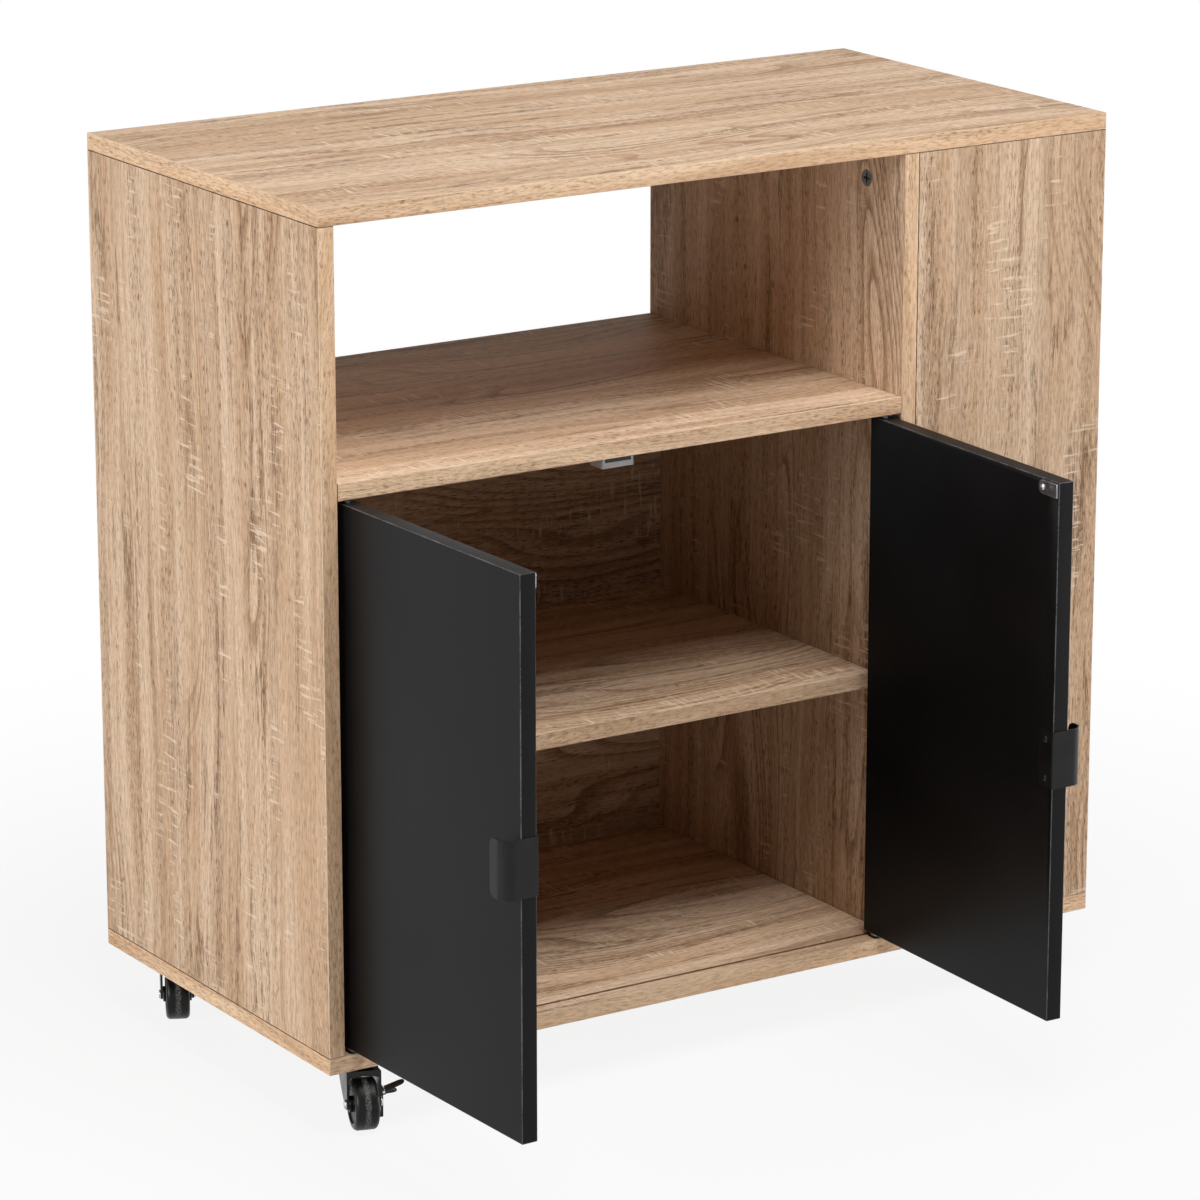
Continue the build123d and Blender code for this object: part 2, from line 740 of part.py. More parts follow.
with BuildPart() as catch_magnet:
    with Locations((opening_mid, catch_front + magnet_depth / 2, magnet_mid)):
        Box(magnet_width, magnet_depth, magnet_height)
keep(catch_magnet, "catch_magnet")

with BuildPart() as catch_screws:
    seat = catch_bottom + small_head_height + loose_fit
    with Locations(*[Plane((x, y, seat), z_dir=down) for x, y in catch_screw_spots]):
        Cylinder(small_head_radius, small_head_height, align=grow)
        with Locations((0, 0, seat - niche_shelf_bottom - small_grip)):
            Cylinder(small_shank, niche_shelf_bottom + small_grip - seat, align=grow)
keep(catch_screws, "catch_screws")

# Caster plate with its ball race
with BuildPart() as caster_plate:
    with BuildSketch(Plane.XY.offset(plate_bottom)):
        RectangleRounded(plate_size, plate_size, plate_corner)
        with GridLocations(plate_hole_pitch, plate_hole_pitch, 2, 2):
            Circle(caster_screw_shank + part_fit, mode=Mode.SUBTRACT)
    extrude(amount=plate_thickness)
    with BuildSketch(Plane.XZ):
        with BuildLine():
            race_bottom = plate_bottom - race_height
            race_bore = race_radius - race_wall
            Polyline(
                (race_bore, plate_bottom),
                (race_bore, race_bottom),
                (race_radius - race_wall / 3, race_bottom),
                (race_radius, race_bottom + race_height / 3),
                (race_radius, plate_bottom),
                close=True,
            )
        make_face()
    revolve(axis=Axis.Z)
    with Locations((0, 0, caster_height)):
        Hole(kingpin_radius + part_fit)

# Kingpin rivet
with BuildPart() as kingpin:
    kingpin_head_top = crown_bottom - swivel_gap
    with Locations((0, 0, kingpin_head_top)):
        Cylinder(kingpin_radius, caster_height - kingpin_head_top, align=grow)
    with Locations((0, 0, kingpin_head_top - kingpin_head_height)):
        Cylinder(kingpin_head_radius, kingpin_head_height, align=grow)
    fillet(kingpin.edges().group_by(Axis.Z)[0], kingpin_head_height / 2)

# Stamped fork: a crown with two legs that sweep forward to the axle
with BuildPart() as fork:
    leg_front = axle_y - leg_end_radius
    leg_back = axle_y + leg_top_back
    with BuildSketch(Plane.XY.offset(crown_bottom)):
        with Locations((0, leg_back)):
            Circle(fork_half)
        with Locations((0, (leg_front + leg_back) / 2)):
            Rectangle(2 * fork_half, leg_back - leg_front)
    extrude(amount=fork_sheet)
    with BuildSketch(Plane.YZ.offset(fork_half - fork_sheet), Plane.YZ.offset(-fork_half)):
        with Locations((axle_y, axle_z)):
            Circle(leg_end_radius)
        with BuildLine():
            leg_tip = Vector(axle_y, axle_z) + Vector(leg_end_radius, 0).rotate(Axis.Z, -37)
            leg_waist = (axle_y + leg_waist_back, axle_z + leg_waist_rise)
            ThreePointArc(leg_tip, leg_waist, (leg_back, crown_bottom))
            Polyline((leg_back, crown_bottom), (leg_back, crown_top), (leg_front, crown_top))
            Polyline((leg_front, crown_top), (leg_front, axle_z), (axle_y, axle_z), leg_tip)
        make_face()
    extrude(amount=fork_sheet)
    bends = fork.edges().filter_by(Axis.Y).group_by(Axis.Z)[-1]
    fillet(bends, fork_bend)
    with BuildSketch(Plane((0, leg_front, crown_bottom), x_dir=(1, 0, 0), z_dir=(0, 1, 0))):
        with Locations((0, (fork_lip - fork_sheet / 2) / 2)):
            Rectangle(2 * fork_half - fork_sheet, fork_lip + fork_sheet / 2)
        lip_rise = (fork_half - fork_sheet) ** 2 / (2 * fork_arch)
        with Locations((0, fork_lip - lip_rise + fork_arch)):
            Circle(fork_arch, mode=Mode.SUBTRACT)
    extrude(amount=fork_sheet)
    with Locations((0, 0, crown_top)):
        Hole(kingpin_radius + part_fit, 2 * fork_sheet)
    with Locations((0, axle_y, axle_z)):
        Cylinder(axle_radius + part_fit, 4 * fork_half, rotation=(0, 90, 0), mode=Mode.SUBTRACT)

# Fork of the braked casters, with two ears for the lever
with BuildPart() as brake_fork:
    add(fork.part)
    for side in (-1, 1):
        ear_mid = brake_y + side * (brake_width / 2 + brake_side_gap + brake_ear / 2)
        with BuildSketch(Plane((0, ear_mid + brake_ear / 2, brake_z), z_dir=(0, -1, 0), x_dir=(1, 0, 0))):
            ear_root = fork_half - fork_sheet / 2
            bar((ear_root + brake_hub_radius, 0), (brake_x, 0), 2 * brake_hub_radius)
            with Locations(((ear_root + brake_x) / 2, 0)):
                Rectangle(brake_x - ear_root, 2 * brake_hub_radius)
            with Locations((brake_x, 0)):
                Circle(brake_pin_radius + part_fit, mode=Mode.SUBTRACT)
        extrude(amount=brake_ear)

# Axle rivet
with BuildPart() as axle:
    with Locations((0, axle_y, axle_z)):
        Cylinder(axle_radius, 2 * fork_half, rotation=(0, 90, 0))
        for side in (-1, 1):
            with Locations((side * (fork_half + axle_head_height / 2), 0, 0)):
                Cylinder(axle_head_radius, axle_head_height, rotation=(0, 90, 0))
    head_rims = axle.edges().group_by(Axis.X)
    fillet(head_rims[0] + head_rims[-1], axle_head_height / 2)

# Wheel with a soft-shouldered tread and recessed sides
wheel_plane = Plane((0, axle_y, axle_z), x_dir=(1, 0, 0), z_dir=(0, -1, 0))
with BuildPart() as wheel:
    with BuildSketch(wheel_plane) as wheel_section:
        with BuildLine():
            hub_half = fork_half - fork_sheet - wheel_side_gap
            wheel_bore = axle_radius + part_fit
            Polyline(
                (-hub_half, wheel_bore),
                (hub_half, wheel_bore),
                (hub_half, wheel_hub_radius),
                (web_half, wheel_hub_radius),
                (web_half, rim_inner),
                (wheel_half, rim_inner),
                (wheel_half, wheel_radius),
                (-wheel_half, wheel_radius),
                (-wheel_half, rim_inner),
                (-web_half, rim_inner),
                (-web_half, wheel_hub_radius),
                (-hub_half, wheel_hub_radius),
                close=True,
            )
        make_face()
        fillet(wheel_section.vertices().group_by(Axis.Y)[-1], wheel_shoulder)
    revolve(axis=Axis((0, axle_y, axle_z), (1, 0, 0)))

# Paddles of the brake lever, each a thin leaf that narrows to a round tip
lever_plane = Plane(
    (brake_x, brake_y + brake_width / 2, brake_z), x_dir=(1, 0, 0), z_dir=(0, -1, 0)
)
arm = brake_bar / 2 - brake_hub_radius
paddles = []
for reach, rise, root in (
    (brake_upper_reach, brake_upper_rise, 0),
    (brake_lower_reach, -brake_lower_drop, arm),
):
    with BuildPart() as paddle:
        with BuildSketch(lever_plane):
            with Locations((0, root)):
                Circle(brake_bar / 2)
            with Locations((reach - brake_tip / 2, rise)):
                Circle(brake_tip / 2)
            make_hull()
        extrude(amount=brake_width)
        with BuildSketch(Plane((brake_x, brake_y, brake_z))):
            with Locations((reach - brake_width / 2, 0)):
                Circle(brake_width / 2)
            Rectangle(2 * reach - brake_width, brake_width)
        extrude(amount=brake_upper_reach, both=True, mode=Mode.INTERSECT)
    paddles.append(paddle.part)

# Brake lever: two paddles and a nose that presses on the side of the rim
with BuildPart() as brake_lever:
    nose_level = -brake_rise - nose_drop
    nose_tip = wheel_half + brake_clearance + brake_bar / 2 - brake_x
    with BuildSketch(lever_plane):
        Circle(brake_hub_radius)
        bar((arm, 0), (arm, nose_level), brake_bar)
        bar((arm, nose_level), (nose_tip, nose_level), brake_bar)
    extrude(amount=brake_width)
    add(paddles)
    with Locations((brake_x, brake_y, brake_z)):
        Cylinder(brake_pin_radius + part_fit, 2 * brake_width, rotation=(90, 0, 0), mode=Mode.SUBTRACT)

# Pin that the lever rocks on
with BuildPart() as brake_pin:
    pin_length = brake_width + 2 * (brake_side_gap + brake_ear)
    with Locations((brake_x, brake_y, brake_z)):
        Cylinder(brake_pin_radius, pin_length, rotation=(90, 0, 0))

# Casters set out under the base and swivelled as they stand, with brakes on the front pair
for corner, spot in caster_spots.items():
    keep_at(caster_plate, f"{corner}_caster_plate", spot)
    keep_at(kingpin, f"{corner}_kingpin", spot)
    turned = Location(spot, (0, 0, caster_turns[corner]))
    keep_at(axle, f"{corner}_axle", turned)
    keep_at(wheel, f"{corner}_wheel", turned)
    if corner.startswith("front"):
        keep_at(brake_fork, f"{corner}_fork", turned)
        keep_at(brake_lever, f"{corner}_brake_lever", turned)
        keep_at(brake_pin, f"{corner}_brake_pin", turned)
    else:
        keep_at(fork, f"{corner}_fork", turned)

# Screws that hold the caster plates
with BuildPart() as caster_screws:
    with Locations(*[(x, y, plate_bottom) for x, y, z in caster_spots.values()]):
        with GridLocations(plate_hole_pitch, plate_hole_pitch, 2, 2):
            with Locations((0, 0, -caster_screw_head_height)):
                Cylinder(caster_screw_head, caster_screw_head_height, align=grow)
            Cylinder(caster_screw_shank, plate_thickness + caster_screw_grip, align=grow)
keep(caster_screws, "caster_screws")
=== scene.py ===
"""Looks of the rolling kitchen cart: sawn oak laminate, charcoal doors, black hardware and casters."""

import json
import math

import bmesh
import bpy
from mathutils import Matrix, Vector


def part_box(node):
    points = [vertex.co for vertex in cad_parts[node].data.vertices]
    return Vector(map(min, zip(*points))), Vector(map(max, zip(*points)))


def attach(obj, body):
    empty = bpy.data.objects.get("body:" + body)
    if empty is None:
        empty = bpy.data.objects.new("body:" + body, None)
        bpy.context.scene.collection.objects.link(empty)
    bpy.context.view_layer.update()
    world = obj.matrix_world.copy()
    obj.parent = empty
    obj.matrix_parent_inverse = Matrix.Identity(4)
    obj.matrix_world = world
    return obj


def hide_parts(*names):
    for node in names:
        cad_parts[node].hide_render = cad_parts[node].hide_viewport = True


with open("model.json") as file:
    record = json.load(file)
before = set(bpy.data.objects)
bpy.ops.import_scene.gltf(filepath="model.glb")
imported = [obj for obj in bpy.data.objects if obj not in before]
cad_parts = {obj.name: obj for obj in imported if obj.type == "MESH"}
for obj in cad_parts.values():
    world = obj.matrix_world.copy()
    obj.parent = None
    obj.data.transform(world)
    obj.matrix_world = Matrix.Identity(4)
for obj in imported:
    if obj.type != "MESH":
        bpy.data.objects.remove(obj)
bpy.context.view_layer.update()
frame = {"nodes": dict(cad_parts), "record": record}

# Sizes repeated from the CAD part, in metres
PIVOT_LEFT = Vector((-0.372, -0.1925, 0.0))
PIVOT_RIGHT = Vector((0.169, -0.1925, 0.0))
DOOR_ANGLE = math.radians(88.5)
DOOR_FACE = 0.0075
FREE_EDGE = 0.2685
HANDLE_MID = 0.312
HANDLE_SHEET = 0.0012
HANDLE_SCREW_INSET = 0.0096
HANDLE_SCREW_STEP = 0.017
STRIKE_SHEET = 0.0015
STRIKE_INSET = 0.0015
STRIKE_LENGTH = 0.026
STRIKE_HALF = 0.006
STRIKE_MID = 0.5455
CASTER_X = 0.352
CASTER_Y = 0.162
CASTER_TURNS = {"front_left": -18, "front_right": -5, "back_left": -26, "back_right": -20}
PLATE_UNDERSIDE = 0.058
PLATE_SCREW_STEP = 0.015
WHEEL_TRAIL = 0.024
WHEEL_RADIUS = 0.023

# Axis of the grain on each board: 0 along the width, 1 along the depth, 2 upright
BOARD_GRAIN = {
    "top_panel": 0,
    "base_panel": 0,
    "niche_shelf": 0,
    "cabinet_shelf": 0,
    "cabinet_back_panel": 0,
    "left_side_panel": 2,
    "divider_panel": 2,
    "end_front_panel": 2,
    "end_back_panel": 2,
    "end_shelf_lower": 1,
    "end_shelf_upper": 1,
}

# Finishes of a board, in the order of its material slots; the joint and groove finishes are painted shade and
# the arris finish a painted highlight
FACE, BAND, JOINT_PAINTED_SHADE, ARRIS_PAINTED_HIGHLIGHT, GROOVE_PAINTED_SHADE = range(5)

# Limits for reading the CAD shapes, in metres and radians
MERGE_REACH = 0.000002
JOINT_REACH = 0.0012
SUNK_DEPTH = 0.0004
FLAT_SHARE = 0.95
FLAT_ANGLE = math.radians(0.5)
SHARP_ANGLE = math.radians(34)
EASED_ANGLE = math.radians(40)

# Widths of the eased edges on the hardware, in metres
TINY_EASE = 0.0002
THIN_EASE = 0.0003
PULL_EASE = 0.00035
WHEEL_EASE = 0.0004
MOULD_EASE = 0.0005

# Screw heads: radius, height and slot width, in metres
SMALL_HEAD = (0.0029, 0.0016, 0.0008)
CASTER_HEAD = (0.0036, 0.002, 0.001)

# Streaks of the oak: features a metre along the grain and across it, detail and roughness
GRAIN_DRIFT = (2.0, 5.0, 2.0, 0.5)
GRAIN_WAVER = (22.0, 60.0, 2.0, 0.5)
BROAD_TONE = (1.1, 24.0, 4.0, 0.65)
BROWN_BAND = (1.7, 56.0, 4.0, 0.7)
BROWN_STRIP = (0.8, 31.0, 1.0, 0.5)
LONG_LINE = (5.0, 210.0, 3.0, 0.7)
FINE_DASH = (78.0, 700.0, 2.0, 0.65)
PALE_DASH = (48.0, 560.0, 2.0, 0.6)
RING_HEART = (1.7, 9.0, 1.0, 0.4)
RING_STRENGTH = (2.4, 1.0, 1.0, 0.5)
RAGGED_EDGE = (70.0, 620.0, 3.0, 0.65)
DARK_LENS = (6.0, 84.0, 2.0, 0.55)
LENS_GROVE = (1.8, 8.0, 1.0, 0.5)
DARK_PORE = (120.0, 840.0, 1.5, 0.5)
SAW_TOOTH = (230.0, 26.0, 3.0, 0.6)
SAW_PATCH = (7.0, 22.0, 3.0, 0.5)

# Reach of the bent grain in metres, and the growth rings in a metre
DRIFT_REACH = 0.036
WAVER_REACH = 0.0016
SWELL_REACH = 0.26
RINGS_A_METRE = 92.0
RING_STRIDE = 5.3

# Strength of the short marks in the oak
FINE_STRENGTH = 0.46
PALE_STRENGTH = 0.40
LENS_STRENGTH = 0.72

# Steps in metres from one stretch of the print to the next: by board, by direction and by side
BOARD_STEP = 2.37
AXIS_STEP = 0.71
SIDE_STEP = 1.13
STEP_SLANT = 0.61

# Streaks of the pale line round the wheels' treads, in the same order as the oak's
TREAD_LINE_WANDER = (90.0, 60.0, 2.0, 0.5)
TREAD_LINE_GRIT = (900.0, 900.0, 2.0, 0.5)
TREAD_LINE_REACH = 0.003
TREAD_LINE_STRENGTH = 0.62

# Depths of the bumps in metres, and the shine of the two finishes that have a map
OAK_BUMP = 0.0004
FINE_BUMP = 0.0002
OAK_SHINE = 0.08
WHEEL_SHINE = 0.22


def tint(red, green, blue):
    """A display colour out of 255 as a linear colour."""
    parts = []
    for value in (red, green, blue):
        share = value / 255
        parts.append(share / 12.92 if share <= 0.04045 else ((share + 0.055) / 1.055) ** 2.4)
    return (*parts, 1.0)


PALE_STREAK = tint(236, 210, 182)
SAW_PALE = tint(238, 218, 194)
TREAD_LINE_TONE = tint(150, 146, 140)


# Node helpers
def fill(tree, node, values):
    """Link or set the inputs of a node."""
    for key, value in values.items():
        if isinstance(value, bpy.types.NodeSocket):
            tree.links.new(value, node.inputs[key])
        else:
            node.inputs[key].default_value = value


def place(tree, kind, values=None, **settings):
    """Add a node with its settings and inputs."""
    made = tree.nodes.new(kind)
    for key, value in settings.items():
        setattr(made, key, value)
    fill(tree, made, values or {})
    return made


def sums(tree, operation, first, second=0.0):
    """One step of arithmetic."""
    return place(tree, "ShaderNodeMath", {0: first, 1: second}, operation=operation).outputs[0]


def product(tree, first, *others):
    """Values multiplied one after another."""
    total = first
    for other in others:
        total = sums(tree, "MULTIPLY", total, other)
    return total


def spread(tree, value, low, high, top=1.0):
    """Stretch a value between two limits, with soft ends."""
    made = place(
        tree,
        "ShaderNodeMapRange",
        {"Value": value, "From Min": low, "From Max": high, "To Min": 0.0, "To Max": top},
        interpolation_type="SMOOTHSTEP",
    )
    return made.outputs[0]


def blended(tree, amount, first, second):
    """Mix two colours."""
    made = place(tree, "ShaderNodeMix", {0: amount, 6: first, 7: second}, data_type="RGBA")
    return made.outputs[2]


def streaks(tree, along, across, layer):
    """Noise drawn out along the grain."""
    run, pitch, detail, rough = layer
    stretched = place(
        tree, "ShaderNodeCombineXYZ", {0: product(tree, along, run), 1: product(tree, across, pitch)}
    )
    made = place(
        tree,
        "ShaderNodeTexNoise",
        {"Vector": stretched.outputs[0], "Scale": 1.0, "Detail": detail, "Roughness": rough},
        noise_dimensions="2D",
    )
    return made.outputs[0]


def about_nought(tree, noise, reach):
    """Noise made to swing either side of nought."""
    return product(tree, sums(tree, "SUBTRACT", noise, 0.5), reach)


def new_group(name, purpose, inputs, outputs):
    """A node group with named sockets."""
    tree = bpy.data.node_groups.new(name, purpose)
    for label, kind, value in inputs:
        made = tree.interface.new_socket(name=label, in_out="INPUT", socket_type=kind)
        if value is not None:
            made.default_value = value
    for label, kind in outputs:
        tree.interface.new_socket(name=label, in_out="OUTPUT", socket_type=kind)
    start = tree.nodes.new("NodeGroupInput")
    end = tree.nodes.new("NodeGroupOutput")
    return tree, start.outputs, end


def use_group(tree, group, values):
    """Place a node group and set its inputs."""
    made = tree.nodes.new("ShaderNodeGroup")
    made.node_tree = group
    fill(tree, made, values)
    return made


def new_material(name):
    """An empty material with its surface shader."""
    made = bpy.data.materials.new(name)
    made.use_nodes = True
    tree = made.node_tree
    tree.nodes.clear()
    surface = tree.nodes.new("ShaderNodeBsdfPrincipled")
    end = tree.nodes.new("ShaderNodeOutputMaterial")
    tree.links.new(surface.outputs[0], end.inputs[0])
    return made, tree, surface


def dress_surface(tree, surface, colour, gloss, height, strength, depth):
    """Lead colour, gloss and a bump to the surface shader."""
    bump = place(tree, "ShaderNodeBump", {"Height": height, "Strength": strength, "Distance": depth})
    fill(tree, surface, {"Base Color": colour, "Roughness": gloss, "Normal": bump.outputs[0]})


def oak_figure_group():
    """Figure of the printed oak: u runs with the grain and v across it, both in metres."""
    tree, start, end = new_group(
        "sawn oak figure",
        "ShaderNodeTree",
        (
            ("Grain", "NodeSocketVector", None),
            ("Pale", "NodeSocketColor", tint(233, 204, 175)),
            ("Tan", "NodeSocketColor", tint(212, 178, 146)),
            ("Brown", "NodeSocketColor", tint(148, 112, 82)),
            ("Pore", "NodeSocketColor", tint(104, 75, 52)),
            ("Pores", "NodeSocketFloat", 0.75),
            ("Figure", "NodeSocketFloat", 1.0),
            ("Saw Marks", "NodeSocketFloat", 0.68),
        ),
        (("Color", "NodeSocketColor"), ("Height", "NodeSocketFloat"), ("Gloss", "NodeSocketFloat")),
    )
    apart = place(tree, "ShaderNodeSeparateXYZ", {0: start["Grain"]})
    along = apart.outputs[0]
    across = apart.outputs[1]
    brown = start["Brown"]

    # The grain lines wander a little
    drift = about_nought(tree, streaks(tree, along, across, GRAIN_DRIFT), DRIFT_REACH)
    waver = about_nought(tree, streaks(tree, along, across, GRAIN_WAVER), WAVER_REACH)
    bent = sums(tree, "ADD", across, drift)
    line = sums(tree, "ADD", bent, waver)

    # Broad tone, then brown strips, long lines and short dashes
    tone = spread(tree, streaks(tree, along, line, BROAD_TONE), 0.38, 0.64)
    colour = blended(tree, tone, start["Pale"], start["Tan"])
    band_noise = streaks(tree, along, line, BROWN_BAND)
    band = spread(tree, band_noise, 0.50, 0.74, 0.44)
    colour = blended(tree, band, colour, brown)
    strip = spread(tree, streaks(tree, along, line, BROWN_STRIP), 0.58, 0.64, 0.22)
    colour = blended(tree, strip, colour, brown)
    long_line = spread(tree, streaks(tree, along, line, LONG_LINE), 0.42, 0.74, 0.28)
    colour = blended(tree, long_line, colour, brown)
    fine = spread(tree, streaks(tree, along, line, FINE_DASH), 0.42, 0.70)
    colour = blended(tree, product(tree, fine, FINE_STRENGTH), colour, brown)
    pale = spread(tree, streaks(tree, along, line, PALE_DASH), 0.55, 0.72)
    colour = blended(tree, product(tree, pale, PALE_STRENGTH), colour, PALE_STREAK)

    # Growth rings: long veins, dark and sharp on one side, that close to pointed loops here and there
    heart = streaks(tree, along, bent, RING_HEART)
    swell = about_nought(tree, heart, SWELL_REACH)
    depth = product(tree, sums(tree, "ADD", line, swell), RINGS_A_METRE)
    ring = sums(tree, "FRACT", depth)
    vein = product(tree, spread(tree, ring, 0.30, 0.96), spread(tree, ring, 1.0, 0.93))
    order = product(tree, sums(tree, "FLOOR", depth), RING_STRIDE)
    strength = spread(tree, streaks(tree, along, order, RING_STRENGTH), 0.36, 0.62)
    shown = sums(tree, "ADD", spread(tree, heart, 0.50, 0.60, 0.9), 0.1)
    ragged = spread(tree, streaks(tree, along, line, RAGGED_EDGE), 0.34, 0.62)
    worn = sums(tree, "ADD", product(tree, ragged, 0.55), 0.45)
    vein = product(tree, vein, product(tree, strength, shown), worn, start["Figure"])
    colour = blended(tree, vein, colour, brown)

    # Dark lenses in groves
    lens = spread(tree, streaks(tree, along, line, DARK_LENS), 0.59, 0.66)
    grove = spread(tree, streaks(tree, along, line, LENS_GROVE), 0.46, 0.58)
    lens = product(tree, lens, grove, ragged, product(tree, start["Figure"], LENS_STRENGTH))
    colour = blended(tree, lens, colour, start["Pore"])

    # Short dark pores, thickest in the brown bands
    pore = spread(tree, streaks(tree, along, line, DARK_PORE), 0.57, 0.68)
    crowd = sums(tree, "ADD", spread(tree, band_noise, 0.44, 0.62, 0.75), 0.25)
    pore = product(tree, pore, crowd, start["Pores"])
    colour = blended(tree, pore, colour, start["Pore"])

    # Pale saw marks across the grain, in narrow patches
    tooth = spread(tree, streaks(tree, along, bent, SAW_TOOTH), 0.57, 0.66)
    patch = spread(tree, streaks(tree, along, bent, SAW_PATCH), 0.54, 0.66)
    saw = product(tree, tooth, patch, start["Saw Marks"])
    colour = blended(tree, saw, colour, SAW_PALE)

    height = sums(tree, "SUBTRACT", product(tree, saw, 0.5), product(tree, pore, 0.9))
    height = sums(tree, "SUBTRACT", height, product(tree, fine, 0.25))
    gloss = sums(tree, "ADD", product(tree, pore, 0.12), 0.58)
    fill(tree, end, {"Color": colour, "Height": height, "Gloss": gloss})
    return tree


def mottle_group():
    """Fine mottling shared by the painted, moulded and metal finishes."""
    tree, start, end = new_group(
        "fine mottle",
        "ShaderNodeTree",
        (
            ("Dark", "NodeSocketColor", (0.02, 0.02, 0.02, 1)),
            ("Light", "NodeSocketColor", (0.03, 0.03, 0.03, 1)),
            ("Cloud Size", "NodeSocketFloat", 12.0),
            ("Speck Size", "NodeSocketFloat", 900.0),
            ("Smooth", "NodeSocketFloat", 0.35),
            ("Rough", "NodeSocketFloat", 0.50),
        ),
        (("Color", "NodeSocketColor"), ("Gloss", "NodeSocketFloat"), ("Height", "NodeSocketFloat")),
    )
    spot = place(tree, "ShaderNodeTexCoord").outputs["Object"]
    cloud = place(tree, "ShaderNodeTexNoise", {"Vector": spot, "Scale": start["Cloud Size"], "Detail": 4.0})
    speck = place(tree, "ShaderNodeTexNoise", {"Vector": spot, "Scale": start["Speck Size"], "Detail": 2.0})
    both = sums(tree, "ADD", product(tree, cloud.outputs[0], 0.6), product(tree, speck.outputs[0], 0.4))
    even = spread(tree, both, 0.35, 0.65)
    colour = blended(tree, even, start["Dark"], start["Light"])
    gap = sums(tree, "SUBTRACT", start["Rough"], start["Smooth"])
    gloss = sums(tree, "ADD", start["Smooth"], product(tree, gap, even))
    fill(tree, end, {"Color": colour, "Gloss": gloss, "Height": speck.outputs[0]})
    return tree


OAK_FIGURE = oak_figure_group()
MOTTLE = mottle_group()


def oak_tones(pale, tan, brown):
    """The three main colours of an oak finish."""
    return {"Pale": tint(*pale), "Tan": tint(*tan), "Brown": tint(*brown)}


def oak_material(name, values, stretch=(1, 1, 1)):
    """Printed oak on the grain map of a board."""
    made, tree, surface = new_material(name)
    grain = place(tree, "ShaderNodeUVMap", uv_map="grain")
    sized = place(tree, "ShaderNodeMapping", {"Vector": grain.outputs[0], "Scale": stretch})
    figure = use_group(tree, OAK_FIGURE, {"Grain": sized.outputs[0], **values}).outputs
    dress_surface(tree, surface, figure["Color"], figure["Gloss"], figure["Height"], 0.25, OAK_BUMP)
    surface.inputs["Specular IOR Level"].default_value = OAK_SHINE
    return made


def mottle_values(dark, light, cloud, smooth, rough):
    """Inputs of the mottle: its two colours, the size of its clouds and the range of its roughness."""
    return {"Dark": tint(*dark), "Light": tint(*light), "Cloud Size": cloud, "Smooth": smooth, "Rough": rough}


def mottled_material(name, values, metal=0.0, bump_strength=0.15, shine=0.5):
    """A painted, moulded or metal finish with fine mottling."""
    made, tree, surface = new_material(name)
    mottle = use_group(tree, MOTTLE, values).outputs
    dress_surface(tree, surface, mottle["Color"], mottle["Gloss"], mottle["Height"], bump_strength, FINE_BUMP)
    surface.inputs["Metallic"].default_value = metal
    surface.inputs["Specular IOR Level"].default_value = shine
    return made


# Oak finishes
oak_face = oak_material("sawn oak face", {})
oak_band = oak_material(
    "sawn oak edge band",
    {
        **oak_tones((246, 213, 178), (231, 192, 154), (166, 124, 90)),
        "Pore": tint(122, 90, 64),
        "Pores": 0.55,
        "Figure": 0.0,
        "Saw Marks": 0.1,
    },
    (1.1, 0.9, 1),
)
# Darker oak on the chamfers at board joints: painted shade
oak_joint_painted_shade = oak_material(
    "board joint painted shade",
    {**oak_tones((112, 84, 62), (92, 67, 49), (70, 50, 36)), "Saw Marks": 0.0},
)
# Darker oak on sunk faces such as grooves and bore bottoms: painted shade
oak_groove_painted_shade = oak_material(
    "board groove painted shade",
    {**oak_tones((176, 138, 106), (156, 120, 90), (120, 90, 66)), "Saw Marks": 0.0},
)
# Lighter oak on the open arrises: a painted highlight
oak_arris_painted_highlight = oak_material(
    "board arris painted highlight",
    {**oak_tones((232, 210, 184), (222, 196, 166), (196, 164, 132)), "Pores": 0.2},
)

# Paints, coats and plastics
door_paint = mottled_material(
    "charcoal door paint", mottle_values((9, 9, 10), (14, 14, 15), 7.0, 0.36, 0.46), shine=0.13
)
# Lighter paint on the rounded door edges is a painted highlight
door_arris_painted_highlight = mottled_material(
    "door arris painted highlight", mottle_values((30, 30, 32), (92, 92, 94), 45.0, 0.22, 0.34), shine=0.45
)
black_coat = mottled_material(
    "black powder coat",
    mottle_values((10, 10, 11), (16, 16, 17), 60.0, 0.28, 0.40),
    bump_strength=0.3,
    shine=0.25,
)
caster_coat = mottled_material(
    "black caster steel", mottle_values((6, 6, 7), (12, 12, 13), 80.0, 0.16, 0.30), shine=0.3
)
brake_mould = mottled_material(
    "black brake plastic", mottle_values((8, 8, 9), (14, 14, 15), 90.0, 0.30, 0.44), shine=0.25
)
pale_plastic = mottled_material(
    "pale catch plastic", mottle_values((206, 205, 202), (222, 221, 218), 60.0, 0.38, 0.5)
)
dark_magnet = mottled_material("dark magnet", mottle_values((36, 35, 35), (52, 51, 50), 200.0, 0.4, 0.6))
black_nylon = mottled_material("black nylon bush", mottle_values((12, 12, 12), (20, 20, 20), 90.0, 0.35, 0.5))
plain_beech = mottled_material(
    "plain beech", mottle_values((196, 164, 122), (218, 188, 146), 150.0, 0.55, 0.7)
)

# Bare and plated metals
bright_steel = mottled_material(
    "bright zinc plate", mottle_values((176, 176, 178), (206, 206, 206), 200.0, 0.22, 0.36), metal=1.0
)
dull_zinc = mottled_material(
    "dull cam zinc", mottle_values((62, 58, 56), (92, 87, 84), 250.0, 0.35, 0.55), metal=0.9
)
strike_plating = mottled_material(
    "dark strike plating", mottle_values((146, 150, 156), (174, 178, 184), 120.0, 0.30, 0.44), metal=1.0
)


